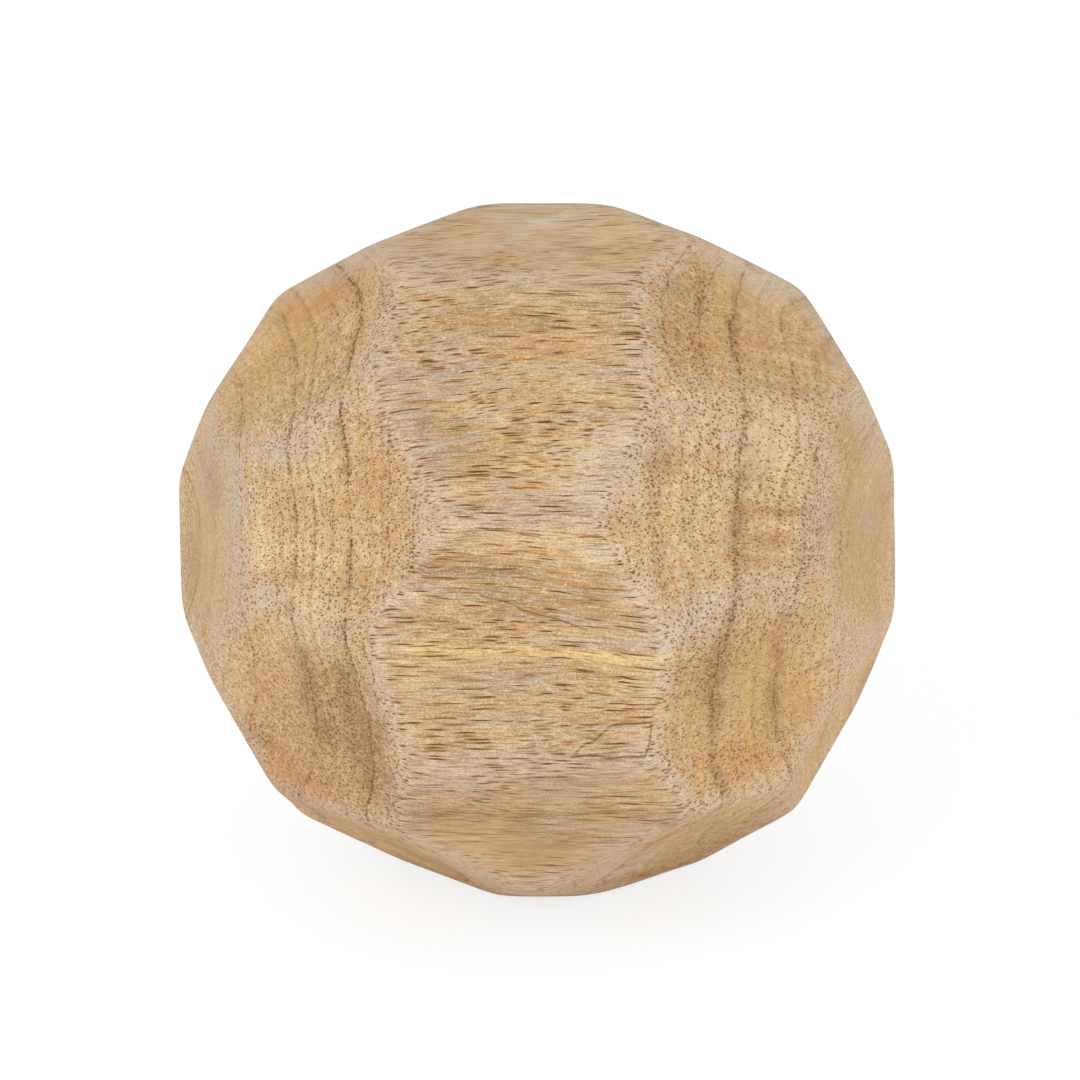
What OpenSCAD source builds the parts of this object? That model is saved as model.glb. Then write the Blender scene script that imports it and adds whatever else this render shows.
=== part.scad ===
// Hand-faceted wooden ball.
// One solid piece of light, open-pored wood, ground by hand into flats that meet in worn,
// softly rounded ridges. Twenty flats have six sides and twelve have five, laid out as on
// a football, and the ridge at the top and at the bottom pole is ground off flat.
// The ball rests on a five-sided flat. The origin is on that flat, straight under the
// middle of the ball. +Z is up, X runs along the grain and the front faces -Y.

/* [Reach of the flats] */
// Distance from the middle of the ball to its six-sided flats
six_reach = 46.8; // [46:0.1:47.6]
// Distance from the middle of the ball to its five-sided flats
five_reach = 47.6; // [46.8:0.1:48.4]
// Depth ground off the ridge at the top and the bottom pole
pole_cut = 3.2; // [1.6:0.2:4.8]

/* [Layout of the flats] */
// Lean of the middle flats above and below the belt line, in degrees
middle_lean = 25; // [22:1:28]
// Turn of the five-sided side flats away from the front, in degrees
side_turn = 38; // [35:1:41]
// Turn of the corner flats away from the front, in degrees
corner_turn = 48; // [45:1:51]
// Lean of the corner flats above and below the belt line, in degrees
corner_lean = 27; // [24:1:30]
// Lean of the upper and lower five-sided flats, in degrees
upper_lean = 57; // [54:1:60]
// Turn of the end flats away from the front, in degrees
end_turn = 68; // [65:1:71]
// Lean of the crown flats beside the poles, in degrees
crown_lean = 66; // [63:1:69]
// Lean of the five-sided shoulder flats over each end, in degrees
shoulder_lean = 30; // [27:1:33]
// Share of the hand-ground unevenness, where 0 is an even ball
unevenness = 1; // [0:0.1:1]

/* [Ridges] */
// Radius of the worn ridges between the flats
ridge_radius = 6; // [2:0.5:9]

/* [Hidden] */

// Facets round a ridge
ridge_facets = 48;

// The crown flats beside a pole meet in a ridge this far from the middle of the ball
pole_ridge = six_reach / sin(crown_lean);

// Distance from the middle of the ball to the narrow flats ground on those ridges
pole_reach = pole_ridge - pole_cut;

// Side of the block that stands for all wood on the inner side of one flat
block = 3 * pole_ridge;

// How far the flat that the ball rests on is off, as [turn, lean], and its turn and lean
rest_stray = [4, -3];
rest_turn = 180 + rest_stray[0] * unevenness;
rest_lean = -upper_lean + rest_stray[1] * unevenness;

// Each flat is [turn to the right, lean upward, reach, stray]. A turn of 0 is the front
// and 180 the back. The stray is how far the hand-ground flat is off: [turn, lean, reach].
FRONT_FLATS = [
    // Middle pair, then the five-sided flats above and below it
    [0, middle_lean, six_reach, [-1, -1, 0.2]],
    [0, -middle_lean, six_reach, [0, -3, 0.4]],
    [0, upper_lean, five_reach, [1, -1, 0]],
    [0, -upper_lean, five_reach, [2, 2, 0.2]],
    // Right: the side flat, the corner flats over and under it, the end flat
    [side_turn, 0, five_reach, [4, 2, -1.2]],
    [corner_turn, corner_lean, six_reach, [-4, -3, 0.8]],
    [corner_turn, -corner_lean, six_reach, [3, 3, 0.2]],
    [end_turn, 0, six_reach, [0, -2, 0.4]],
    // Left, in the same order
    [-side_turn, 0, five_reach, [0, 2, -0.8]],
    [-corner_turn, corner_lean, six_reach, [0, -2, 0.4]],
    [-corner_turn, -corner_lean, six_reach, [-2, -3, -0.2]],
    [-end_turn, 0, six_reach, [1, -1, 0.2]]
];

RIM_FLATS = [
    // Crown flats at the top and the bottom, right then left
    [90, crown_lean, six_reach, [-3, 0, 0]],
    [-90, crown_lean, six_reach, [14, 0, -0.2]],
    [90, -crown_lean, six_reach, [-8, -1, -0.8]],
    [-90, -crown_lean, six_reach, [6, -1, -0.8]],
    // Shoulder flats over and under each end, right then left
    [90, shoulder_lean, five_reach, [5, 1, 1]],
    [-90, shoulder_lean, five_reach, [-2, 3, 0.2]],
    [90, -shoulder_lean, five_reach, [-3, 0, 0.4]],
    [-90, -shoulder_lean, five_reach, [-1, 1, 0.2]],
    // Narrow flats at the top and the bottom pole
    [0, 90, pole_reach, [4, -8, 0]],
    [0, -90, pole_reach, [-8, -3, 0.2]]
];

BACK_FLATS = [
    // Middle pair, then the five-sided flat above it and the one the ball rests on
    [180, middle_lean, six_reach, [1, 1, 0]],
    [180, -middle_lean, six_reach, [0, 1, 0]],
    [180, upper_lean, five_reach, [-2, 1, 0]],
    [rest_turn, rest_lean, five_reach, [0, 0, 0]],
    // Right: the side flat, the corner flats over and under it, the end flat
    [180 - side_turn, 0, five_reach, [-2, 1, -0.4]],
    [180 - corner_turn, corner_lean, six_reach, [0, 1, 0]],
    [180 - corner_turn, -corner_lean, six_reach, [1, 0, 0.2]],
    [180 - end_turn, 0, six_reach, [-3, 0, -0.2]],
    // Left, in the same order
    [side_turn - 180, 0, five_reach, [2, -1, -0.4]],
    [corner_turn - 180, corner_lean, six_reach, [-1, 0, 0.2]],
    [corner_turn - 180, -corner_lean, six_reach, [1, -1, -0.2]],
    [end_turn - 180, 0, six_reach, [2, -1, 0]]
];

FLATS = concat(FRONT_FLATS, RIM_FLATS, BACK_FLATS);

// Turns +Z to the direction of a flat, where the front is -Y
module aim(turn, lean) {
    rotate([0, 0, turn])
        rotate([90 - lean, 0, 0])
            children();
}

// The wood on the inner side of one flat, drawn in by the ridge radius
module inner_side(flat) {
    stray = unevenness * flat[3];
    reach = flat[2] + stray[2] - ridge_radius;
    aim(flat[0] + stray[0], flat[1] + stray[1])
        translate([0, 0, reach - block / 2])
            cube(block, center = true);
}

// The sharp-edged core of the ball, around its middle
module core() {
    intersection_for(flat = FLATS)
        inner_side(flat);
}

// Turned and leaned back until the resting flat faces straight down
module settled() {
    rotate([-90 - rest_lean, 0, 0])
        rotate([0, 0, 180 - rest_turn])
            children();
}

// The core grown by the ridge radius, which gives the flats back their reach and rounds
// the ridges. The growing ball is that radius from its middle to the facet at its pole.
module ball() {
    color("burlywood")
        translate([0, 0, five_reach])
            minkowski() {
                settled() core();
                sphere(r = ridge_radius / cos(180 / ridge_facets), $fn = ridge_facets);
            }
}

ball();
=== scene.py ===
import math
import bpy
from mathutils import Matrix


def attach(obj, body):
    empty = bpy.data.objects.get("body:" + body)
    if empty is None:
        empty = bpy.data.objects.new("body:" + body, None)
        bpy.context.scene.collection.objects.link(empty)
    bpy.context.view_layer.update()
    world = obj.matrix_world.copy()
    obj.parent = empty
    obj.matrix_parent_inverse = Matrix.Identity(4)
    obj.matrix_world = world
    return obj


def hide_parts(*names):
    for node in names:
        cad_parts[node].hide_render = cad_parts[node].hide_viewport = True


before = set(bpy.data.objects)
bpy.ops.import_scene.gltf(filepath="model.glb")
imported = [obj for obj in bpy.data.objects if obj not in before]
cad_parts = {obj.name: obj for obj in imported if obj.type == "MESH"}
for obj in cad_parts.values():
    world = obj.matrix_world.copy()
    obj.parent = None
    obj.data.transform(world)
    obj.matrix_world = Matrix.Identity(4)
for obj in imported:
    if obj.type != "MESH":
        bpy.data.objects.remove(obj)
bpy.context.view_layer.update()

from types import SimpleNamespace

import bpy
import numpy as np
from mathutils import Vector

# Looks of a hand-faceted wooden ball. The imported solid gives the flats, and a finer mesh
# is built on them with worn ridges and the slight waves of hand grinding.
# Lengths inside this script are in millimetres unless a name says metres.

MM = 0.001
SEED = 7

# The middle of the ball in the row frame
CENTRE = np.array([0.0, 0.0, 47.6])
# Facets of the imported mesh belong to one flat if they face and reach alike, and together
# they are at least this large, in square millimetres
SAME_DIRECTION = math.cos(math.radians(0.4))
SAME_REACH = 0.05
FLAT_AREA = 60.0

# The fine mesh: steps along each side of the cube that it is spread from, and how finely
# its points are told apart
GRID = 126
POINT_STEPS = 1e6
# How softly the flats meet, and how wide the pale band along their ridges is, partly wear and
# partly a painted sheen
RIDGE_SOFTNESS = 0.62
RIDGE_WIDTH = 2.1
# Flats that lean away from a point more than this are out of its reach
LEAST_LEAN = 0.05
OUT_OF_REACH = 1e6
# Depth and length of the waves that grinding leaves
WAVE_DEPTH = 0.07
WAVE_LENGTH = 13.0

# A smooth random field is a sum of this many waves, of these shares of its length
WAVE_COUNT = 48
WAVE_SPREAD = (0.7, 1.5)
# Random strays: amount, length and seed
SOFTNESS_STRAY = (0.16, 16.0, 0)
RING_STRAY = (1.3, 30.0, 40)
LINE_STRAY = (0.25, 6.0, 30)
ISLAND_STRAY = (0.3, 5.0, 5)
# Slow changes in the wood: amount, steps along the fibres and across them, and seed
SLOW_LENGTH = 1.8
SLOW = {
    "drift_depth": (0.7, 17.0, 8.0, 20),
    "drift_rise": (0.7, 17.0, 8.0, 21),
    "pore_width": (0.045, 9.0, 5.0, 22),
    "broad_pale": (0.45, 20.0, 7.0, 23),
    "narrow_pale": (0.3, 8.0, 3.0, 24),
    "crisp": (0.3, 9.0, 7.0, 25),
}

# The growth rings lie round a pith line along X, as the fibres do
PITH = (0.0, 2.3, 46.6)
LEAST_RADIUS = 1.0
LEAST_SLOPE = 0.01
# Radius, strength and width of each dark line between two rings
RING_LINES = (
    (9.0, 0.5, 0.22), (16.5, 0.4, 0.2), (27.5, 0.5, 0.2), (33.9, 0.4, 0.15),
    (35.8, 0.65, 0.2), (38.5, 0.4, 0.14), (40.9, 0.35, 0.14), (43.4, 1.0, 0.2),
    (45.7, 0.45, 0.14), (48.4, 0.55, 0.16), (51.7, 0.6, 0.16),
)
# As shares of that width: the core of a line, and how far the pores beside it reach
LINE_CORE = 0.3
STRING_REACH = 2.8
# Where the darker wood at a line begins and ends, inward and outward of it
BEFORE_LINE = (-2.4, -0.2)
AFTER_LINE = (0.1, 0.9)
# How far the rings bulge outward at heights over the pith line
RING_BULGE = (
    (-46, -17, -8, 0, 8, 15, 25, 34, 40, 46),
    (2.9, 2.3, 1.7, 1.4, 1.1, -0.6, -1.8, -1.1, 0.3, 1.6),
)
# How much further in they lie on the right than on the left, at the same heights
RING_LEAN = ((-14, 2, 12, 30, 44), (0.0, 0.026, 0.044, 0.044, 0.01))
# The rings wander behind this depth, fully so from that much further back
WANDER_FROM = -30
WANDER_OVER = 25
# How far they wobble everywhere
RING_WOBBLE = 1.5
# How crisp the lines are in the middle, and how that changes for each millimetre right and
# up from a height
CRISP = 0.75
CRISP_RIGHT = -0.013
CRISP_UP = 0.035
CRISP_UP_FROM = 14
LEAST_CRISP = 0.3

# A pale line and a thin dark scratch on the middle front flat: how far right and up of the
# ball's middle each is seen, then its middle and half its length
PALE_LINE = ((-19.5, 0.3, 14.5, 22.0), (-13.0, -13.5, -14.7, -13.2))
PALE_LINE_MIDDLE = 1.2
PALE_LINE_HALF = 18.5
SCRATCH = ((-7.8, -0.5, 5.6, 7.0), (-6.1, -8.2, -10.3, -11.0))
SCRATCH_MIDDLE = -0.6
SCRATCH_HALF = 7.0
LINE_END = 0.5
# Drawn marks show only where the surface is this far in front of the ball's middle
FRONT_EDGE = 10
# A small closed ring that just shows on the lower front flat: how far right and up of the
# ball's middle it is seen, and the direction in degrees and the reach of each of its sides
ISLAND = (10.3, -25.6)
ISLAND_SIDES = ((134, 2.4), (91, 2.5), (-10, 4.1), (-92, 1.8))

# Stains on the side towards the camera, listed one by one: kind, how far right and up of the
# ball's middle as seen there, half length, half width, turn in degrees and strength
# The broad umber band over the lower edge and the umber marks along its lower rims are painted
# shade; the rest are stains.
STAINS = (
    # The upper left flat
    ("ochre", -30.8, 34.0, 6.7, 2.7, 20, 0.7),
    ("ochre", -36.6, 25.9, 4.0, 1.6, 30, 0.4),
    ("ochre", -26.2, 35.2, 4.0, 2.4, 0, 0.5),
    ("umber", -32.1, 21.8, 1.2, 0.7, 30, 0.8),
    ("ochre", -23.9, 29.5, 0.8, 0.5, 0, 0.9),
    ("umber", -27.2, 22.7, 3.4, 0.5, 40, 0.5),
    ("honey", -39.2, 19.7, 6.0, 3.4, 30, 0.75),
    ("honey", -32.3, 27.1, 6.7, 3.4, 30, 0.5),
    ("honey", -28.5, 20.0, 5.4, 1.3, 30, 0.5),
    ("umber", -44.1, 8.8, 3.2, 1.3, -90, 0.35),
    ("ash", -44.6, 13.6, 5.4, 1.1, -90, 0.5),
    # The top
    ("frost", -2.4, 42.0, 14.7, 2.9, 0, 0.35),
    ("ash", -2.4, 42.7, 17.4, 3.5, 0, 0.12),
    ("ochre", -2.4, 43.8, 14.7, 1.9, 0, 0.2),
    ("cream", -2.4, 42.7, 17.4, 3.5, 0, 0.15),
    ("ochre", -14.6, 39.8, 1.9, 1.1, 0, 0.5),
    ("ochre", -3.8, 38.7, 1.9, 0.9, 0, 0.4),
    ("umber", 8.3, 35.3, 6.0, 0.5, 0, 0.7),
    ("umber", 11.2, 35.0, 1.2, 0.7, 0, 0.7),
    ("umber", 18.4, 36.3, 4.0, 3.4, 0, 0.4),
    # The upper right flat
    ("umber", 18.3, 30.1, 4.7, 3.8, -90, 0.45),
    ("umber", 26.6, 30.3, 6.0, 0.5, -90, 0.8),
    ("umber", 21.5, 32.9, 4.8, 0.5, 83, 0.6),
    ("ochre", 22.8, 26.8, 1.9, 1.6, 0, 0.8),
    ("ochre", 22.3, 23.3, 3.4, 1.9, -90, 0.4),
    ("honey", 32.7, 24.5, 6.0, 0.8, -12, 1.1),
    ("cream", 33.0, 26.2, 5.4, 0.5, -12, 0.7),
    ("ochre", 34.8, 23.1, 1.3, 0.5, -12, 0.9),
    ("umber", 34.0, 21.8, 6.0, 0.7, -14, 0.7),
    ("ochre", 30.0, 27.7, 6.0, 0.9, -12, 0.5),
    ("umber", 30.8, 30.4, 8.0, 6.7, 0, 0.25),
    ("honey", 42.4, 14.9, 4.0, 1.9, -90, 0.6),
    # The upper front flat
    ("honey", -2.4, 31.8, 13.4, 2.7, 0, 0.55),
    ("ochre", -2.4, 28.2, 13.4, 1.6, 0, 0.35),
    ("umber", -2.4, 30.7, 14.7, 2.7, 0, 0.35),
    ("ochre", -7.7, 31.0, 4.0, 0.9, 0, 0.8),
    ("umber", -7.5, 33.8, 1.6, 0.5, 0, 0.7),
    ("umber", -2.4, 35.2, 2.9, 0.8, 0, 0.5),
    ("umber", 9.9, 32.9, 5.4, 0.8, 0, 0.5),
    ("cream", 2.9, 28.2, 5.4, 1.2, 0, 0.35),
    ("umber", 1.2, 29.8, 1.9, 0.5, 0, 0.7),
    ("umber", 9.9, 29.3, 2.1, 0.5, 0, 0.6),
    ("umber", -18.9, 27.4, 1.2, 0.8, 0, 0.6),
    ("ochre", 4.3, 26.3, 8.0, 1.2, -8, 0.7),
    ("ash", -10.4, 23.2, 5.4, 1.9, 0, 0.55),
    ("ash", 6.9, 23.6, 5.4, 0.8, 0, 0.5),
    ("ash", -14.1, 22.6, 2.7, 1.9, 0, 0.4),
    ("ochre", 16.2, 22.8, 2.7, 0.8, 0, 0.5),
    ("ash", -18.1, 21.2, 6.0, 1.6, -63, 0.75),
    ("ash", -12.9, 10.5, 6.0, 1.6, -63, 0.6),
    ("umber", -15.3, 16.4, 2.1, 1.7, 0, 0.75),
    ("umber", -10.6, 16.5, 2.1, 1.3, 0, 0.7),
    ("umber", -11.3, 13.3, 2.9, 0.5, 0, 0.7),
    ("umber", -3.7, 15.8, 5.4, 0.5, 0, 0.4),
    ("umber", 8.2, 19.2, 2.1, 0.5, 0, 0.6),
    ("umber", -7.6, 10.0, 5.4, 0.5, 0, 0.6),
    ("honey", 0.3, 19.2, 6.7, 0.8, 0, 0.5),
    ("honey", -5.0, 12.5, 8.0, 1.3, 0, 0.45),
    ("frost", 8.8, 12.5, 3.5, 3.2, 0, 0.6),
    ("frost", 6.8, 7.6, 5.4, 1.6, 0, 0.4),
    ("cream", 2.9, 11.2, 6.7, 1.2, 0, 0.5),
    ("frost", -11.7, 25.0, 4.8, 1.6, -25, 0.4),
    ("cream", -10.0, 6.3, 2.4, 1.3, 0, 0.6),
    ("umber", 11.1, 10.2, 2.4, 1.6, -90, 0.45),
    ("umber", -19.5, 31.4, 4.3, 1.3, -90, 0.4),
    ("ash", -13.5, 17.5, 1.6, 1.1, 0, 0.4),
    ("ochre", -13.1, 36.2, 2.4, 1.3, 0, 0.4),
    # The ridge under it
    ("ash", -2.3, 5.2, 9.4, 1.6, 0, 0.5),
    ("umber", -2.3, 4.6, 12.1, 1.9, 0, 0.3),
    ("umber", 2.9, 3.9, 6.7, 0.7, 0, 0.6),
    ("umber", -5.0, 5.9, 6.7, 0.7, 0, 0.4),
    ("umber", 2.6, 5.1, 5.4, 0.5, 0, 0.55),
    ("ochre", -5.0, 2.9, 5.4, 0.7, 0, 0.6),
    ("umber", -8.2, 1.8, 2.1, 0.5, 0, 0.5),
    ("ochre", 10.8, 4.2, 2.4, 1.6, 0, 0.5),
    # The left front flat
    ("umber", -26.9, 16.0, 2.9, 0.8, -78, 0.6),
    ("ochre", -22.0, 16.6, 2.1, 1.9, -90, 0.5),
    ("frost", -32.6, 13.6, 3.5, 1.9, 0, 0.6),
    ("umber", -36.1, 10.0, 1.1, 1.1, 0, 0.35),
    ("ochre", -21.2, 10.8, 3.5, 3.2, 0, 0.65),
    ("ochre", -29.4, 5.3, 4.0, 1.3, 0, 0.7),
    ("honey", -33.2, 7.3, 4.0, 2.7, 0, 0.5),
    ("ochre", -25.6, 0.6, 5.4, 1.1, 0, 0.5),
    ("ochre", -13.9, 3.9, 1.6, 1.6, 0, 0.6),
    ("cream", -33.2, -0.3, 7.4, 2.4, 0, 0.6),
    ("ochre", -34.8, -3.5, 5.4, 0.7, -6, 0.95),
    ("umber", -32.2, -3.8, 1.6, 0.5, 0, 0.5),
    ("frost", -37.1, -6.2, 2.4, 1.2, 0, 0.6),
    ("frost", -17.3, -7.3, 2.7, 2.4, -90, 0.35),
    ("cream", -29.0, -7.4, 3.8, 2.1, 0, 0.6),
    ("cream", -37.1, 0.6, 4.0, 2.1, -90, 0.5),
    ("cream", -29.1, 2.6, 8.0, 6.7, -90, 0.42),
    ("cream", -29.1, 9.3, 4.0, 1.3, 0, 0.4),
    ("ochre", -23.6, 6.6, 4.0, 1.1, 0, 0.5),
    ("ochre", -31.8, 2.6, 5.4, 0.7, 0, 0.5),
    ("ash", -40.8, 4.0, 9.4, 1.1, -90, 0.8),
    ("umber", -25.7, -10.4, 1.2, 0.8, 0, 0.7),
    ("cream", -21.1, -0.3, 2.4, 1.3, 0, 0.5),
    ("cream", -25.0, -14.4, 2.7, 1.6, 0, 0.4),
    ("umber", -39.3, -6.8, 1.9, 1.6, 0, 0.4),
    ("umber", -25.6, -5.6, 2.1, 1.1, 0, 0.45),
    ("ochre", -20.2, -0.0, 4.0, 3.2, -90, 0.4),
    ("ochre", -33.8, -8.1, 3.2, 0.7, -82, 0.6),
    # The middle front flat
    ("umber", -11.6, -1.9, 6.4, 1.1, 4, 0.75),
    ("frost", -11.3, 0.5, 3.2, 1.1, 0, 0.5),
    ("ash", -5.0, -11.9, 4.0, 1.1, 0, 0.3),
    ("umber", 8.2, -4.0, 4.8, 1.9, 0, 0.45),
    ("umber", 11.9, -11.4, 3.5, 2.4, 0, 0.45),
    ("umber", 10.6, -28.2, 3.8, 1.5, 0, 0.8),
    ("umber", 0.9, -27.3, 6.7, 1.9, 0, 0.4),
    ("cream", 2.9, -20.2, 6.0, 1.1, 0, 0.35),
    ("umber", -5.6, -3.2, 5.6, 1.1, 0, 0.9),
    ("umber", -15.5, -3.3, 2.4, 1.6, 0, 0.4),
    ("umber", -8.9, -5.4, 4.0, 0.5, 0, 0.6),
    ("umber", 7.9, -5.5, 1.9, 0.7, 0, 0.8),
    ("umber", 0.3, -6.6, 10.7, 0.5, 0, 0.55),
    ("umber", -2.4, -8.5, 13.4, 0.7, 0, 0.5),
    ("umber", -2.4, -5.5, 14.7, 4.3, 0, 0.3),
    ("umber", -14.0, -9.5, 3.5, 0.5, -8, 0.7),
    ("honey", 4.2, -2.9, 8.0, 1.1, 0, 0.4),
    ("cream", 8.2, -1.3, 4.0, 0.9, 0, 0.5),
    ("ochre", 2.9, -13.6, 14.7, 0.5, 2, 0.5),
    ("ochre", 9.8, -12.6, 1.6, 0.5, 0, 0.6),
    ("honey", -14.3, -14.8, 4.6, 1.6, 0, 0.7),
    ("umber", -10.8, -17.0, 2.1, 0.5, -8, 0.8),
    ("umber", -1.7, -16.7, 2.1, 0.5, 0, 0.6),
    ("honey", 0.3, -15.6, 13.4, 1.2, 0, 0.4),
    ("honey", 10.9, -18.5, 8.0, 5.4, 0, 0.35),
    ("honey", -2.4, -21.9, 14.7, 3.4, 0, 0.35),
    ("ash", -2.4, -19.9, 14.7, 5.4, 0, 0.35),
    ("umber", -2.4, -18.6, 14.7, 8.0, 0, 0.12),
    ("ochre", -14.3, -20.6, 3.2, 0.9, 0, 0.6),
    ("ochre", -2.4, -20.7, 4.0, 0.5, 0, 0.5),
    ("ochre", 10.2, -21.5, 4.6, 0.8, 0, 0.85),
    ("umber", 11.5, -23.2, 2.1, 0.5, 0, 0.5),
    ("umber", 7.8, -24.7, 1.6, 0.5, -40, 0.6),
    ("ash", -2.4, -28.6, 14.7, 1.9, 0, 0.25),
    ("umber", 4.9, -30.8, 8.0, 0.5, 0, 0.75),
    ("umber", -5.1, -32.2, 8.0, 0.5, 0, 0.55),
    ("cream", 3.0, -33.9, 12.1, 0.5, 0, 0.8),
    ("ash", -9.3, -29.3, 4.3, 1.3, -65, 0.6),
    # The right front flat
    ("cream", 26.4, 19.5, 7.4, 1.2, -10, 1.1),
    ("frost", 27.0, 10.6, 8.0, 8.0, 0, 0.15),
    ("frost", 21.2, -8.8, 6.7, 1.6, 32, 0.8),
    ("frost", 13.5, -11.9, 8.0, 0.8, 0, 0.5),
    ("umber", 16.4, 11.9, 2.1, 1.9, -90, 0.75),
    ("umber", 13.5, 15.8, 3.5, 0.7, -90, 0.4),
    ("cream", 21.8, 16.6, 2.9, 1.6, 0, 0.85),
    ("frost", 13.5, 10.5, 5.4, 1.3, -90, 0.5),
    ("cream", 20.1, 3.9, 4.6, 4.0, 0, 0.5),
    ("umber", 26.5, 2.6, 3.2, 1.2, -90, 0.9),
    ("umber", 26.6, 14.6, 6.7, 0.5, -90, 0.25),
    ("ochre", 30.8, 1.2, 3.5, 0.9, 0, 1.3),
    ("cream", 31.7, 2.9, 4.0, 0.5, 0, 0.6),
    ("ochre", 30.3, -2.2, 4.0, 0.8, 0, 0.7),
    ("umber", 30.8, 0.9, 1.9, 0.8, 0, 0.6),
    ("ochre", 31.7, 4.9, 4.7, 0.8, 0, 0.9),
    ("umber", 33.1, 5.3, 4.0, 0.5, 0, 0.9),
    ("umber", 36.8, -1.4, 1.6, 0.8, 0, 0.4),
    ("umber", 30.3, -1.4, 4.0, 0.5, 0, 0.4),
    ("cream", 32.8, 13.4, 4.6, 4.3, -90, 0.9),
    ("umber", 27.7, 10.0, 1.3, 1.2, -90, 0.6),
    ("umber", 29.2, -4.7, 1.2, 1.1, -90, 0.6),
    ("umber", 37.3, 12.1, 6.7, 0.5, -90, 0.4),
    ("umber", 37.3, 4.0, 2.4, 0.8, -90, 0.5),
    ("umber", 35.3, -4.3, 1.3, 0.9, -90, 0.6),
    ("honey", 43.9, -0.1, 6.7, 2.9, -90, 0.45),
    ("umber", 41.2, 0.2, 1.2, 0.9, -90, 0.45),
    ("umber", 38.8, 4.7, 3.5, 1.9, -90, 0.7),
    ("honey", 42.4, 14.2, 3.8, 2.4, -90, 0.6),
    ("ochre", 24.0, 17.3, 4.0, 1.6, 0, 0.35),
    ("ash", 16.4, -1.3, 3.2, 2.4, -90, 0.35),
    ("ash", 15.5, 13.9, 3.2, 1.6, -90, 0.4),
    ("umber", 24.5, -16.3, 1.3, 1.1, 0, 0.5),
    ("cream", 36.8, -7.0, 2.4, 1.6, 0, 0.4),
    ("ash", 27.0, 5.0, 9.0, 8.0, 0, 0.12),
    ("umber", 27.0, 5.0, 9.0, 8.0, 0, 0.05),
    # The lower left flat
    ("umber", -27.3, -23.6, 8.0, 6.7, -90, 0.5),
    ("umber", -37.7, -25.3, 4.0, 4.0, 0, 0.3),
    ("honey", -30.7, -20.2, 9.4, 8.0, -90, 0.3),
    ("umber", -31.7, -15.1, 2.9, 1.1, -78, 0.9),
    ("umber", -30.5, -19.6, 2.9, 1.2, -80, 0.9),
    ("umber", -29.1, -25.0, 3.5, 1.6, -82, 0.6),
    ("umber", -25.7, -17.4, 2.1, 1.3, -82, 0.8),
    ("umber", -24.0, -22.8, 4.8, 2.7, -78, 0.6),
    ("umber", -21.7, -29.5, 4.6, 2.1, -78, 0.8),
    ("ochre", -25.3, -28.3, 6.7, 5.4, 0, 0.35),
    ("ochre", -37.0, -18.4, 2.9, 2.9, 0, 0.6),
    ("ochre", -36.0, -30.9, 5.4, 3.5, -25, 1.1),
    ("ochre", -29.6, -33.4, 4.0, 1.6, -25, 0.7),
    ("umber", -38.7, -25.4, 4.0, 0.5, -30, 0.5),
    ("honey", -38.9, -12.2, 3.2, 2.4, 0, 0.5),
    ("ash", -41.5, -10.2, 2.1, 1.3, 0, 0.4),
    # The lower right flat
    ("umber", 25.4, -9.3, 2.4, 0.8, 78, 1),
    ("umber", 24.2, -14.0, 2.7, 1.3, 82, 1),
    ("umber", 23.5, -18.7, 2.4, 1.3, -90, 0.8),
    ("umber", 33.0, -8.3, 1.9, 0.8, 82, 0.9),
    ("ochre", 31.9, -12.1, 3.5, 1.1, 85, 1),
    ("umber", 31.5, -20.2, 4.0, 1.1, -90, 0.8),
    ("umber", 32.2, -13.5, 4.0, 0.8, -90, 0.5),
    ("honey", 28.3, -10.7, 5.4, 2.7, -90, 1),
    ("umber", 23.8, -20.0, 5.4, 1.1, -90, 0.4),
    ("honey", 28.4, -18.8, 10.7, 8.0, -90, 0.35),
    ("honey", 36.9, -9.7, 5.9, 3.5, -90, 1),
    ("honey", 21.5, -14.6, 4.0, 4.0, 0, 0.45),
    ("umber", 21.5, -15.3, 4.0, 3.5, -90, 0.25),
    ("honey", 20.2, -22.0, 3.5, 3.2, -90, 0.55),
    ("ochre", 27.9, -29.0, 5.9, 3.2, 0, 0.75),
    ("ochre", 34.0, -20.3, 3.2, 1.9, -90, 0.4),
    ("honey", 28.5, -24.3, 8.0, 5.4, 0, 0.35),
    ("ochre", 37.2, -22.4, 2.7, 2.4, -90, 0.7),
    ("umber", 23.3, -26.8, 3.5, 0.5, -82, 0.7),
    ("cream", 27.9, -31.1, 5.4, 1.6, 0, 0.25),
    ("umber", 24.8, -31.6, 2.4, 0.5, -74, 0.8),
    ("umber", 38.2, -15.6, 3.2, 0.5, 30, 0.5),
    # The lower edge: stains, and painted shade in a broad darker band and along the lower rims
    ("umber", -13.1, -35.2, 3.5, 0.5, 0, 0.85),
    ("umber", 1.0, -35.5, 12.1, 0.5, 0, 0.5),
    # Painted shade: a broad darker band over the lower flat, which faces down and gets less
    # light
    ("umber", 0.3, -37.0, 17.4, 4.8, 0, 0.62),
    ("ash", 0.3, -36.5, 14.0, 4.0, 0, 0.15),
    ("umber", 13.7, -36.3, 2.4, 0.8, 0, 0.6),
    ("umber", 8.4, -40.0, 8.0, 0.5, 0, 0.4),
    ("honey", 0.3, -43.1, 10.7, 1.1, 0, 0.4),
    # Painted shade along the lower right and lower left rims
    ("umber", 22.3, -39.8, 8.0, 1.1, 22, 0.3),
    ("umber", -21.7, -39.6, 8.0, 1.1, -22, 0.3),
    # Painted shade: a dark spot at the lower left rim, like a contact shadow
    ("umber", -16.1, -43.5, 5.4, 1.3, -23, 1),
    ("umber", -15.8, -36.3, 2.9, 1.9, -20, 0.6),
    ("ash", -15.8, -36.3, 2.7, 1.9, 0, 0.4),
    ("umber", 17.5, -36.6, 1.9, 1.1, 0, 0.7),
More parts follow.
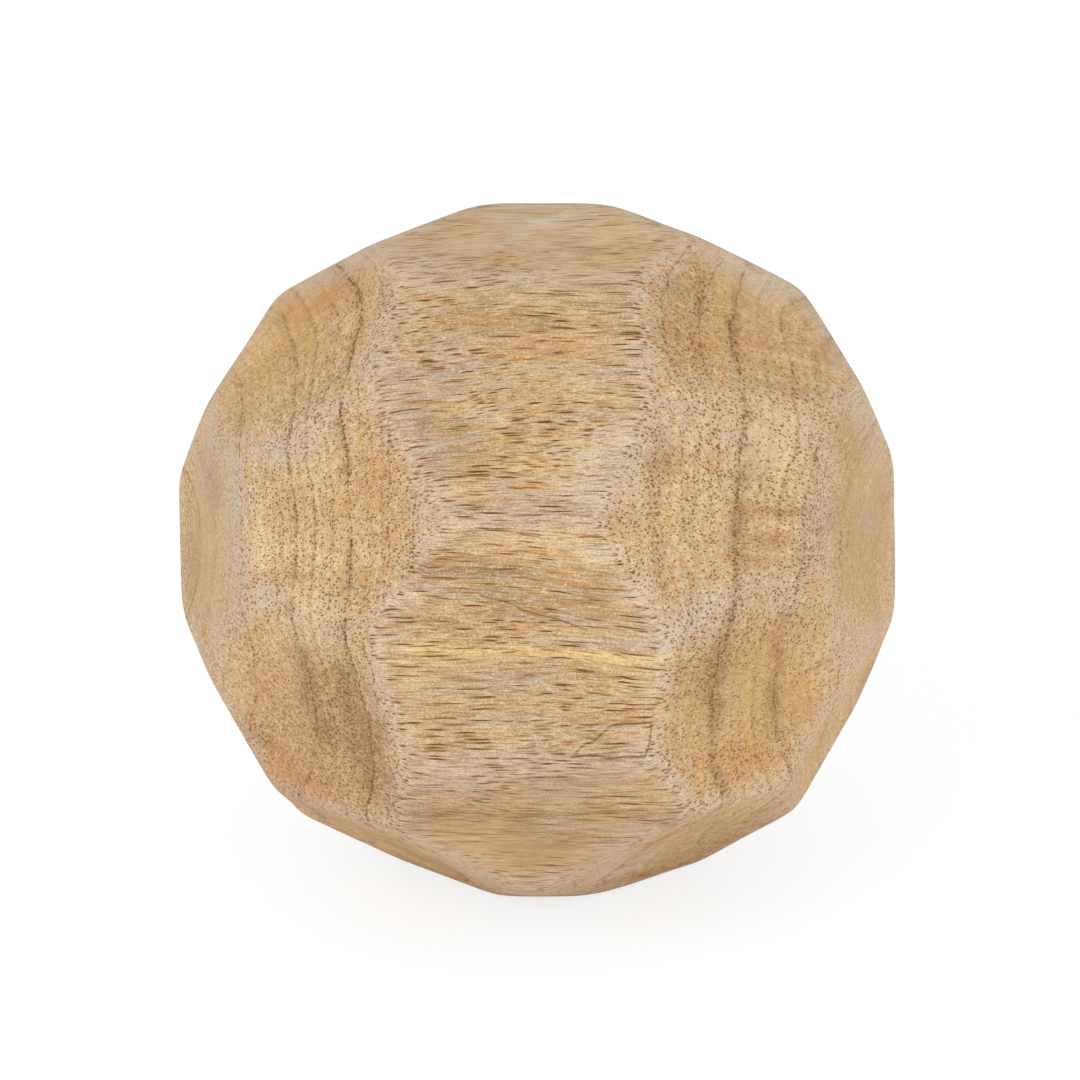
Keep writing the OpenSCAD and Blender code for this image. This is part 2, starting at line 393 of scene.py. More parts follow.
    ("umber", 24.2, -37.2, 2.7, 1.1, 20, 0.4),
    ("frost", 11.3, -43.8, 6.0, 1.9, 15, 0.9),
    ("frost", -9.2, -43.9, 3.5, 0.8, -20, 0.5),
    ("umber", 9.2, 45.7, 5.4, 1.3, -5, 0.2),
    ("cream", 1.0, -38.9, 5.4, 1.9, 0, 0.35),
    ("ash", -12.0, -32.1, 5.4, 1.9, 0, 0.4),
    ("frost", 28.6, 37.8, 8.3, 1.9, -27, 0.5),
    # The upper rims
    ("ash", -27.3, 38.6, 8.5, 1.7, 26, 0.8),
    ("ash", 29.0, 38.4, 8.0, 1.8, -27, 0.7),
    ("umber", 39.8, 29.8, 6.5, 2.2, -61, 0.5),
    ("ash", 39.8, 30.2, 6.5, 1.6, -61, 0.4),
    # Flats where the pores are rubbed full of dust and wax
    ("filled", -27.3, 38.4, 9.5, 3.0, 26, 0.95),
    ("filled", 29.3, 38.4, 9.5, 3.0, -27, 0.95),
    ("filled", 39.5, 30.5, 7.0, 2.4, -61, 0.95),
    ("filled", -2.4, 42.7, 20.1, 5.4, 0, 1),
    ("filled", -45.7, 4.0, 18.8, 4.6, -90, 1.1),
    ("ash", -45.7, 4.0, 18.8, 4.0, -90, 0.45),
    ("ash", 45.1, 4.0, 18.8, 4.6, -90, 0.25),
    ("umber", 45.1, 4.0, 18.8, 4.6, -90, 0.26),
    ("umber", -45.7, 4.0, 18.8, 4.0, -90, 0.16),
    ("filled", 45.1, 4.0, 20.1, 5.1, -90, 1.1),
    ("filled", -36.0, 30.8, 10.1, 7.4, 30, 0.85),
    ("filled", 30.1, 32.5, 9.4, 8.0, -12, 0.95),
    ("filled", -1.1, -40.6, 20.1, 4.8, 0, 0.95),
    ("filled", 0.3, -31.4, 14.7, 3.2, 0, 0.45),
    ("filled", 31.2, -20.2, 10.1, 8.0, -90, 0.7),
    ("filled", 28.3, 8.0, 10.7, 8.0, -90, 0.35),
    ("filled", 22.6, -42.0, 10.7, 3.5, 20, 0.8),
    ("filled", -23.1, -41.3, 10.7, 3.5, -20, 0.8),
)
STAIN_KINDS = ("umber", "ochre", "honey", "cream", "ash", "frost", "filled")
# How far uneven edges move a stain, at most and as a share of its width, how fast it fades
# outward, and over what depth it fades in on the side towards the camera
STAIN_MOVE = 1.8
STAIN_MOVE_SHARE = 0.4
WARP_LENGTH = 9.0
STAIN_FADE = 0.9
SEEN_DEPTH = 8
# Stains at random places, but not on the front, where the noted ones are
LOOSE_STAINS = 120
LOOSE_REACH = 48
LOOSE_LENGTHS = (3.0, 12.0)
LOOSE_WIDTH_SHARES = (0.12, 0.8)
LOOSE_STRENGTHS = (0.35, 0.85)
FRONT_DEPTH = -12
FRONT_HALF = 47

# The wood is usually this pale, and its pores are this share of their spacing wide
MIDDLE_PALE = 0.5
PORE_WIDTH = 0.38
FINE_PORE_WIDTH = 0.85
# Coarse and fine pores: length along the fibres, spacing across them and shift
COARSE_PORES = (10.0, 0.43, 0.0)
FINE_PORES = (7.0, 0.33, 11.3)
# How much wider they are beside ring lines, in fine rows, on ridges and in strings
PORE_WIDENING = (0.12, 0.35, 0.02, 0.17)
ROWS_MIDDLE = 0.45
# How far kinks move the fibres along and across them
KINK = (0.8, 0.3, 0.3)

# Noises in the wood: length along the fibres, length across them, shift, detail and
# roughness. The noise of the fine rings runs along the ring radius.
NOISES = {
    "hair": (3.4, 0.24, 2.2, 3.0, 0.7),
    "kink": (2.7, 0.8, 15.1, 1.0, 0.5),
    "wobble": (12.0, 6.0, 3.1, 3.0, 0.6),
    "patchy": (4.0, 2.6, 5.7, 2.0, 0.6),
    "streak": (16.0, 0.8, 4.4, 3.0, 0.65),
    "dull": (16.0, 2.2, 9.6, 2.0, 0.6),
    "frayed": (6.0, 0.9, 12.4, 2.0, 0.65),
    "rubbed": (5.0, 3.0, 6.6, 1.0, 0.6),
    "grain": (0.3, 0.17, 7.7, 0.0, 0.5),
    "fine_rings": (1 / 1.5, 1.0, 0.0, 3.0, 0.7),
}
# The share of a shift along X, Y and Z
SHIFT_SHARES = (1.0, 1.7, 2.3)

# Smooth fades: the value where each begins and ends, and the share before and after it,
# which is 0 and 1 where it isn't given
FADES = {
    "across": (0.12, 0.5),
    "broken": (0.35, 0.54, 0.2, 1.0),
    "line_in_hair": (0.36, 0.56, 1.0, 0.45),
    "beside_in_patches": (0.36, 0.6, 0.1, 1.0),
    "island": (0.05, 0.27, 1.0, 0.0),
    "island_in_hair": (0.4, 0.62, 1.0, 0.3),
    "scratch": (0.03, 0.17, 0.8, 0.0),
    "scratch_in_patches": (0.35, 0.5, 0.5, 1.0),
    "pale_line": (0.25, 0.95, 1.0, 0.0),
    "frayed": (0.3, 0.6, 0.5, 1.25),
    "rubbed": (0.3, 0.6, 0.4, 1.0),
    "pore_edge": (-0.1, 0.35),
    "pore_core": (0.2, 0.65),
    "fine_pore": (0.0, 0.6),
    "pore_relief": (0.12, 0.34),
}
# How much is left of some looks where the fibres run along the surface, and where they are
# cut across
LINES_LEFT = (0.25, 1.0)
CROWDING_LEFT = (0.4, 1.0)
PORES_LEFT = (1.0, 0.8)
# How much of the pores is left where they are open, and where they are rubbed full
FILLED_PORES_LEFT = (1.0, 0.25)
# How much of the ridges' wear and painted sheen is left on plain wood, and on cream and honey
# stains
WEAR_AND_SHEEN_LEFT = (1.0, 0.4)

# Colours are in steps from 0 to 255 as shown on screen
GROUND = (206, 167, 112)
PALE_GROUND = (224, 190, 140)
# Colour and share of each layer over the ground, with the stains in their order
LAYERS = {
    "side_ground": ((232, 194, 134), 0.45),
    "honey": ((206, 170, 100), 0.88),
    "ochre": ((208, 146, 74), 0.88),
    "cream": ((242, 212, 156), 0.92),
    "ash": ((200, 178, 158), 0.85),
    "frost": ((218, 208, 192), 0.85),
    # Umber also paints the shade on the lower edge
    "umber": ((134, 94, 56), 0.64),
    "pale_line": ((242, 204, 136), 1.0),
    "beside_line": ((152, 112, 80), 0.42),
    # The pale ridge colour is partly wear and partly a painted sheen
    "worn_ridge_and_sheen": ((216, 198, 178), 0.6),
    "pore_edge": ((178, 121, 56), 0.55),
    "pore_in_string": ((74, 46, 24), 0.7),
    "dark_line": ((110, 66, 28), 0.88),
}
SHOWN_STAINS = ("honey", "ochre", "cream", "ash", "frost", "umber")
PALE_LINE_MOST = 0.9
FINE_PORE_MOST = 0.7
COARSE_PORE_MOST = 0.9
# Colours of the pores, which differ from pore to pore
COARSE_PORE_COLOURS = ((0.0, (58, 36, 15)), (0.55, (96, 60, 24)), (1.0, (158, 101, 40)))
FINE_PORE_COLOURS = ((0.0, (108, 73, 38)), (1.0, (182, 128, 62)))
# Tones that a noise gives the wood: how much of them is left along the fibres, where these
# are cut across, where the pores are open and where they are rubbed full, and then how
# each tone fades in and its colour
TONES = {
    "streak": (1.0, 0.7, 1.0, 0.3, (
        ((0.49, 0.62, 0.0, 0.85), (222, 166, 86)),
    )),
    "mottle": (0.0, 1.0, 1.0, 0.4, (
        ((0.5, 0.6, 0.0, 0.8), (222, 160, 78)),
        ((0.4, 0.5, 0.6, 0.0), (244, 222, 176)),
    )),
    "dull": (1.0, 0.5, 1.0, 0.4, (
        ((0.47, 0.64, 0.0, 0.75), (204, 186, 162)),
    )),
    "fine_rings": (0.3, 1.0, 1.0, 1.0, (
        ((0.44, 0.64, 0.0, 0.42), (176, 136, 92)),
    )),
    "hair": (1.0, 0.55, 1.0, 0.5, (
        ((0.32, 0.52, 0.75, 0.0), (166, 118, 70)),
        ((0.5, 0.7, 0.0, 0.5), (242, 223, 193)),
    )),
    "grain": (1.0, 1.0, 1.0, 0.1, (
        ((0.25, 0.5, 0.28, 0.0), (120, 90, 60)),
        ((0.5, 0.75, 0.0, 0.28), (250, 240, 222)),
    )),
}

# The shine and the relief of the wood
SPECULAR = 0.3
ROUGHNESS = 0.62
PORE_ROUGHNESS = 0.77
BUMP_STRENGTH = 0.5
BUMP_METRES = 0.00008
HAIR_RELIEF = 0.5

# The floor: its colour, its glow and the power of that, for other light and as seen
FLOOR_HALF_METRES = 12.0
WHITE = (1.0, 1.0, 1.0, 1.0)
FLOOR_AROUND = ((0.92, 0.92, 0.92, 1.0), WHITE, 0.1)
FLOOR_SEEN = ((0.35, 0.35, 0.35, 1.0), (0.96, 0.985, 1.0, 1.0), 0.77)
# The studio and its lights: name, place in metres and power in watts
STUDIO_POWER = 0.7
BACKDROP_POWER = 1.0
LIGHTS = (
    ("key_left", (-0.75, -0.95, 0.85), 5.6),
    ("fill_right", (1.0, -0.75, 0.38), 3.5),
)
LIGHT_SIDE_METRES = 0.9

# The camera
CAMERA_ELEVATION = 23.5
CAMERA_DISTANCE = 900.0
FRAME_PIXELS = 1080
FOCAL_PIXELS = 6470.0
SENSOR = 36.0
AIM_RIGHT = 0.28
AIM_UP = 1.3
CLIP_METRES = (0.05, 60.0)


def linear(colour):
    """A colour in steps from 0 to 255 as shown on screen, for a shader socket."""
    def channel(step):
        share = step / 255
        return share / 12.92 if share <= 0.04045 else ((share + 0.055) / 1.055) ** 2.4
    red, green, blue = colour
    return (channel(red), channel(green), channel(blue), 1.0)


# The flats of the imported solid
def read_flats(mesh):
    """Direction and reach from the middle of every flat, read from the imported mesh."""
    count = len(mesh.polygons)
    normals = np.zeros(count * 3)
    centres = np.zeros(count * 3)
    areas = np.zeros(count)
    mesh.polygons.foreach_get("normal", normals)
    mesh.polygons.foreach_get("center", centres)
    mesh.polygons.foreach_get("area", areas)
    normals = normals.reshape(-1, 3)
    centres = centres.reshape(-1, 3) / MM - CENTRE
    areas = areas / MM ** 2
    reaches = (normals * centres).sum(1)
    left = np.ones(count, bool)
    flats = []
    for first in np.argsort(-areas):
        if not left[first]:
            continue
        turned_alike = normals @ normals[first] > SAME_DIRECTION
        as_far_out = abs(reaches - reaches[first]) < SAME_REACH
        same = left & turned_alike & as_far_out
        left &= ~same
        area = areas[same].sum()
        if area < FLAT_AREA:
            continue
        direction = (normals[same] * areas[same, None]).sum(0)
        direction /= np.linalg.norm(direction)
        reach = (reaches[same] * areas[same]).sum() / area
        flats.append((direction, reach))
    directions = np.array([flat[0] for flat in flats])
    reaches = np.array([flat[1] for flat in flats])
    return directions, reaches


def waves(points, length, seed):
    """A smooth random field from -1 to 1 over the points, with about that wavelength."""
    random = np.random.default_rng(SEED + seed)
    ways = random.normal(size=(WAVE_COUNT, 3))
    ways /= np.linalg.norm(ways, axis=1)[:, None]
    pitch = 2 * math.pi / (length * random.uniform(*WAVE_SPREAD, WAVE_COUNT))
    start = random.uniform(0, 2 * math.pi, WAVE_COUNT)
    field = np.sin(points @ (ways * pitch[:, None]).T + start).sum(1)
    return np.clip(field / math.sqrt(WAVE_COUNT), -1, 1)


def stray(points, amount, length, seed):
    return amount * waves(points, length, seed)


def slow(points, name):
    """One of the slow changes in the wood, by name."""
    amount, along, across, seed = SLOW[name]
    return stray(points / (along, across, across), amount, SLOW_LENGTH, seed)


def cube_sphere(steps):
    """Points on a unit ball from an even grid on the six sides of a cube, and its quads."""
    angle = np.linspace(-math.pi / 4, math.pi / 4, steps + 1)
    edge = np.tan(angle)
    across, along = np.meshgrid(edge, edge, indexing="ij")
    ones = np.ones_like(across)
    sides = (
        (ones, across, along), (-ones, along, across),
        (along, ones, across), (across, -ones, along),
        (across, along, ones), (along, across, -ones),
    )
    points = np.concatenate([np.stack(side, -1).reshape(-1, 3) for side in sides])
    row = np.arange(steps)
    corner = (row[:, None] * (steps + 1) + row[None, :]).ravel()
    quad = np.stack([corner, corner + steps + 1, corner + steps + 2, corner + 1], 1)
    quads = np.concatenate([quad + k * (steps + 1) ** 2 for k in range(len(sides))])
    keys = np.round(points * POINT_STEPS).astype(np.int64)
    _, first, back = np.unique(keys, axis=0, return_index=True, return_inverse=True)
    points = points[first]
    points /= np.linalg.norm(points, axis=1)[:, None]
    return points, back.reshape(-1)[quads]


def ring_fields(points, normals):
    """Where the growth rings lie: their radius at each point, and how steeply the surface
    cuts them."""
    side, depth, rise = (points - PITH).T
    radius = np.hypot(depth, rise)
    outward = np.stack([0 * side, depth, rise], 1) / np.maximum(radius, LEAST_RADIUS)[:, None]
    slope = np.sqrt(np.clip(1 - (normals * outward).sum(1) ** 2, LEAST_SLOPE, 1))
    radius = radius - np.interp(rise, *RING_BULGE) + side * np.interp(rise, *RING_LEAN)
    # Away from the front the rings wander
    away = np.clip((depth - WANDER_FROM) / WANDER_OVER, 0, 1)
    radius += stray(points, *RING_STRAY) * away
    return {"ring_radius": radius, "ring_slope": slope}


def seen_places(points):
    """How far right, up and towards the camera of the ball's middle each point is seen."""
    lean = math.radians(CAMERA_ELEVATION)
    out = points - CENTRE
    upward = out @ (0.0, math.sin(lean), math.cos(lean))
    toward = out @ (0.0, -math.cos(lean), math.sin(lean))
    return out[:, 0], upward, toward


def drawn_line(points, path, middle, half):
    """How far over a line drawn on the front each point is seen, below 0 under it, and how
    far past the ends of the line or behind the ball."""
    right, upward, toward = seen_places(points)
    behind = np.maximum(FRONT_EDGE - toward, 0)
    past = LINE_END * np.maximum(abs(right - middle) - half, 0) + behind
    over = upward - np.interp(right, *path) + stray(points, *LINE_STRAY)
    return over, past


def island_field(points):
    """How far outside the small closed ring each point is seen, below 0 inside it."""
    right, upward, toward = seen_places(points)
    outside = np.maximum(FRONT_EDGE - toward, -FRONT_EDGE)
    for turn, reach in ISLAND_SIDES:
        cosine = math.cos(math.radians(turn))
        sine = math.sin(math.radians(turn))
        past = (right - ISLAND[0]) * cosine + (upward - ISLAND[1]) * sine - reach
        outside = np.maximum(outside, past)
    return outside + stray(points, *ISLAND_STRAY)


def wood_fields(points):
    """Slow changes in the wood, such as how far its fibres drift, and the marks drawn on
    its front. Its ring lines are crisper on the left and at the top."""
    over_pale_line, past_pale_line = drawn_line(
        points, PALE_LINE, PALE_LINE_MIDDLE, PALE_LINE_HALF)
    over_scratch, past_scratch = drawn_line(points, SCRATCH, SCRATCH_MIDDLE, SCRATCH_HALF)
    right, upward, _ = seen_places(points)
    crisp = CRISP + CRISP_RIGHT * right + CRISP_UP * np.maximum(upward - CRISP_UP_FROM, 0)
    pale = MIDDLE_PALE + slow(points, "broad_pale") + slow(points, "narrow_pale")
    return {
        "drift_depth": slow(points, "drift_depth"),
        "drift_rise": slow(points, "drift_rise"),
        "crisp": np.clip(crisp + slow(points, "crisp"), LEAST_CRISP, 1),
        "pore_width": PORE_WIDTH + slow(points, "pore_width"),
        "pale_line": abs(over_pale_line) + past_pale_line,
        "scratch": over_scratch,
        "past_scratch": past_scratch,
        "island": island_field(points),
        "pale": np.clip(pale, 0, 1),
    }


def stain_fields(points):
    """How strong each kind of stain is at each point; the umber kind also holds the painted
    shade on the lower edge.
    """
    def fall(*offsets):
        return np.exp(-STAIN_FADE * sum(offset ** 2 for offset in offsets))

    fields = {kind: np.zeros(len(points)) for kind in STAIN_KINDS}
    warp = np.stack([waves(points, WARP_LENGTH, 10 + k) for k in range(3)], 1)
    right_of, upward, toward = seen_places(points)
    seen = np.clip(toward / SEEN_DEPTH, 0, 1)
    for kind, at_right, at_up, length, width, turn, strength in STAINS:
        move = min(STAIN_MOVE, STAIN_MOVE_SHARE * width)
        right = right_of - at_right + warp[:, 0] * move
        rise = upward - at_up + warp[:, 2] * move
        cosine = math.cos(math.radians(turn))
        sine = math.sin(math.radians(turn))
        along = (right * cosine + rise * sine) / length
        across = (rise * cosine - right * sine) / width
        fields[kind] += strength * seen * fall(along, across)

    # The other sides have stains at random places
    random = np.random.default_rng(SEED + 3)
    for _ in range(LOOSE_STAINS):
        way = random.normal(size=3)
        middle = LOOSE_REACH * way / np.linalg.norm(way) + CENTRE
        kind = STAIN_KINDS[random.integers(len(STAIN_KINDS))]
        length = random.uniform(*LOOSE_LENGTHS)
        width = length * random.uniform(*LOOSE_WIDTH_SHARES)
        strength = random.uniform(*LOOSE_STRENGTHS)
        if middle[1] < FRONT_DEPTH and abs(middle[0]) < FRONT_HALF:
            continue
        moved = points + warp * min(STAIN_MOVE, STAIN_MOVE_SHARE * width)
        off = (moved - middle) / np.array([length, width, width])
        fields[kind] += strength * fall(*off.T)
    return {kind: np.clip(values, 0, 1) for kind, values in fields.items()}


def make_ball(node):
    """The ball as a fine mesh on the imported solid's flats, with its ridges worn round."""
    directions, reaches = read_flats(node.data)
    out, quads = cube_sphere(GRID)
    lean = out @ directions.T
    faces = lean > LEAST_LEAN
    towards = np.where(faces, reaches / np.maximum(lean, LEAST_LEAN), OUT_OF_REACH)
    ordered = np.sort(towards, axis=1)
    nearest = ordered[:, 0]
    rough = out * nearest[:, None]
    softness = RIDGE_SOFTNESS + stray(rough, *SOFTNESS_STRAY)
    share = np.exp(-(towards - nearest[:, None]) / softness[:, None])
    total = share.sum(1)
    distance = nearest - softness * np.log(total)
    share /= total[:, None]

    # Grinding leaves the flats slightly wavy, but the one it rests on is true
    resting = share[:, np.argmin(directions[:, 2])]
    wave = WAVE_DEPTH * 0.5 * (1 + waves(rough, WAVE_LENGTH, 1))
    distance -= wave * np.clip(1 - 2 * resting, 0, 1)
    points = (out * distance[:, None] + CENTRE) * MM

    mesh = bpy.data.meshes.new("wood_ball")
    mesh.from_pydata(points.tolist(), [], quads.tolist())
    mesh.update()
    gap = ordered[:, 1] - ordered[:, 0]
    ridge = np.exp(-(gap / RIDGE_WIDTH) ** 2)
    normals = np.zeros(len(out) * 3)
    mesh.vertices.foreach_get("normal", normals)
    normals = normals.reshape(-1, 3)
    fields = {"ridge": ridge, "cut_across": abs(normals[:, 0])}
    fields.update(ring_fields(points / MM, normals))
    fields.update(wood_fields(points / MM))
    fields.update(stain_fields(points / MM))
    for name, values in fields.items():
        attribute = mesh.attributes.new(name, "FLOAT", "POINT")
        attribute.data.foreach_set("value", values.astype(np.float32))
    mesh.shade_smooth()
    ball = bpy.data.objects.new("wood_ball", mesh)
    bpy.context.scene.collection.objects.link(ball)
    return ball


# Materials
class Graph:
    """Short calls that add nodes to one material or world."""

    def __init__(self, tree):
        self.tree = tree
        tree.nodes.clear()

    def node(self, kind, sockets, **settings):
        made = self.tree.nodes.new(kind)
        for name, value in settings.items():
            setattr(made, name, value)
        for key, value in sockets.items():
            if isinstance(value, bpy.types.NodeSocket):
                self.tree.links.new(value, made.inputs[key])
            else:
                made.inputs[key].default_value = value
        return made

    def attribute(self, name):
        return self.node("ShaderNodeAttribute", {}, attribute_name=name).outputs["Fac"]

    def math(self, operation, first, second=0.0, third=0.0):
        sockets = {0: first, 1: second, 2: third}
        return self.node("ShaderNodeMath", sockets, operation=operation).outputs[0]

    def times(self, first, second):
        return self.math("MULTIPLY", first, second)

    def plus(self, first, second):
        return self.math("ADD", first, second)

    def most(self, first, second):
        return self.math("MAXIMUM", first, second)

    def share(self, value, at_none, at_full):
        """A share that goes evenly from at_none, where the value is 0, to at_full, at 1."""
        return self.math("MULTIPLY_ADD", value, at_full - at_none, at_none)

    def fade(self, value, low, high, start=0.0, end=1.0):
        """Start at and below low, end at and above high, smooth between them."""
        sockets = {"Value": value, "From Min": low, "From Max": high}
        sockets.update({"To Min": start, "To Max": end})
        made = self.node("ShaderNodeMapRange", sockets, interpolation_type="SMOOTHSTEP")
        return made.outputs["Result"]

    def named_fade(self, value, name):
        return self.fade(value, *FADES[name])

    def vector(self, operation, first, second):
        sockets = {0: first, 1: second}
        return self.node("ShaderNodeVectorMath", sockets, operation=operation).outputs[0]

    def stretch(self, place, along, across, shift):
        """The place measured in steps of that length along the fibres and across them."""
        scale = (1 / along, 1 / across, 1 / across)
        scaled = self.vector("MULTIPLY", place, scale)
        return self.vector("ADD", scaled, [shift * share for share in SHIFT_SHARES])

    def noise(self, place, name, colour=False):
        along, across, shift, detail, roughness = NOISES[name]
        made = self.node("ShaderNodeTexNoise", {
            "Vector": self.stretch(place, along, across, shift),
            "Scale": 1.0,
            "Detail": detail,
            "Roughness": roughness,
        })
        return made.outputs["Color" if colour else "Fac"]

    def mix(self, amount, first, second):
        sockets = {0: amount, 6: first, 7: second}
        return self.node("ShaderNodeMix", sockets, data_type="RGBA").outputs[2]

    def layer(self, ground, amount, name):
        """The ground with that amount of one of the named layers over it."""
        colour, most = LAYERS[name]
        return self.mix(self.times(amount, most), ground, linear(colour))

    def ramp(self, value, stops):
        made = self.node("ShaderNodeValToRGB", {"Fac": value})
        points = made.color_ramp.elements
        while len(points) < len(stops):
            points.new(0.5)
        for point, (position, colour) in zip(points, stops):
            point.position = position
            point.color = linear(colour)
        return made.outputs["Color"]


def ring_lines(graph, radius, slope):
    """The dark lines between growth rings, the strings of wide pores that follow them, and
    the share of the darker wood beside them."""
    line = string = beside = 0.0
    for place, strength, width in RING_LINES:
        off = graph.math("SUBTRACT", radius, place)
        near = graph.math("DIVIDE", graph.math("ABSOLUTE", off), slope)
        line = graph.most(line, graph.fade(near, LINE_CORE * width, width, strength, 0.0))
        string = graph.most(string, graph.fade(near, width, STRING_REACH * width, strength, 0.0))
        before = graph.fade(off, *BEFORE_LINE, 0.0, strength)
        after = graph.fade(off, *AFTER_LINE, 1.0, 0.0)
        beside = graph.most(beside, graph.times(before, after))
    return line, string, beside


def lines_in_wood(graph, here):
    """The ring lines and the other thin dark lines, the strings of pores, the darker wood
    beside the lines, and the fine rings between them."""
    wobble = graph.plus(graph.noise(here.place, "wobble"), -0.5)
    radius = graph.plus(graph.attribute("ring_radius"), graph.times(wobble, RING_WOBBLE))
    line, string, beside = ring_lines(graph, radius, graph.attribute("ring_slope"))
    over_radius = graph.node("ShaderNodeCombineXYZ", {0: radius}).outputs[0]
    fine_rings = graph.noise(over_radius, "fine_rings")

    patchy = graph.noise(here.place, "patchy")
    broken = graph.named_fade(patchy, "broken")
    string = graph.times(graph.times(string, broken), here.across)
    line = graph.times(graph.times(line, broken), graph.share(here.across, *LINES_LEFT))
    line = graph.times(line, graph.named_fade(here.hair, "line_in_hair"))
    line = graph.times(line, graph.attribute("crisp"))
    beside = graph.times(beside, graph.named_fade(patchy, "beside_in_patches"))

    # The small closed ring and the scratch
    island = graph.named_fade(graph.math("ABSOLUTE", graph.attribute("island")), "island")
    island = graph.times(island, graph.named_fade(here.hair, "island_in_hair"))
    off_scratch = graph.math("ABSOLUTE", graph.attribute("scratch"))
    off_scratch = graph.plus(off_scratch, graph.attribute("past_scratch"))
    scratch = graph.named_fade(off_scratch, "scratch")
    scratch = graph.times(scratch, graph.named_fade(patchy, "scratch_in_patches"))
    line = graph.most(graph.most(line, island), scratch)
    return line, string, beside, fine_rings


def pores(graph, place, width, sizes):
    """Open pores: how deep in a pore the place is, from 0 to 1, a number for each pore,
    and the distance from its middle."""
    cells = graph.node("ShaderNodeTexVoronoi", {
        "Vector": graph.stretch(place, *sizes),
        "Scale": 1.0,
        "Randomness": 1.0,
    }, feature="F1")
    distance = cells.outputs["Distance"]
    depth = graph.math("DIVIDE", graph.math("SUBTRACT", width, distance), width)
    number = graph.node("ShaderNodeSeparateColor", {0: cells.outputs["Color"]}).outputs[0]
    return depth, number, distance


def add_tones(graph, here, ground, name, noise):
    """The ground with the tones that a noise gives it."""
    along, across, unfilled, filled, tones = TONES[name]
    left = graph.share(here.across, along, across)
    left = graph.times(left, graph.share(here.filled, unfilled, filled))
    for fade, colour in tones:
        amount = graph.times(graph.fade(noise, *fade), left)
        ground = graph.mix(amount, ground, linear(colour))
    return ground


def ground_colour(graph, here, beside, fine_rings):
    """The colour of the wood between its pores."""
    ground = graph.mix(graph.attribute("pale"), linear(GROUND), linear(PALE_GROUND))
    ground = graph.layer(ground, here.across, "side_ground")
    streak = graph.noise(here.fibre, "streak")
    ground = add_tones(graph, here, ground, "streak", streak)
    ground = add_tones(graph, here, ground, "mottle", here.mottle)
    dull = graph.noise(here.fibre, "dull")
    ground = add_tones(graph, here, ground, "dull", dull)

    # Stains, with painted shade on the lower edge carried by the umber ones
    frayed = graph.named_fade(graph.noise(here.fibre, "frayed"), "frayed")
    for kind in SHOWN_STAINS:
        amount = graph.times(graph.attribute(kind), frayed)
        ground = graph.layer(ground, amount, kind)
    pale_line = graph.named_fade(graph.attribute("pale_line"), "pale_line")
    pale_line = graph.math("MINIMUM", graph.times(pale_line, frayed), PALE_LINE_MOST)
    ground = graph.layer(ground, pale_line, "pale_line")
    ground = graph.layer(ground, beside, "beside_line")
    ground = add_tones(graph, here, ground, "fine_rings", fine_rings)

    # Ridges paler from wear, and partly from a painted sheen
    worn = graph.named_fade(graph.noise(here.place, "rubbed"), "rubbed")
    less_wear_and_sheen = graph.most(graph.attribute("cream"), graph.attribute("honey"))
    worn = graph.times(graph.times(here.ridge, worn), graph.share(less_wear_and_sheen, *WEAR_AND_SHEEN_LEFT))
    ground = graph.layer(ground, worn, "worn_ridge_and_sheen")

    # Fine fibres and the grain between them
    ground = add_tones(graph, here, ground, "hair", here.hair)
    grain = graph.noise(here.place, "grain")
    return add_tones(graph, here, ground, "grain", grain)


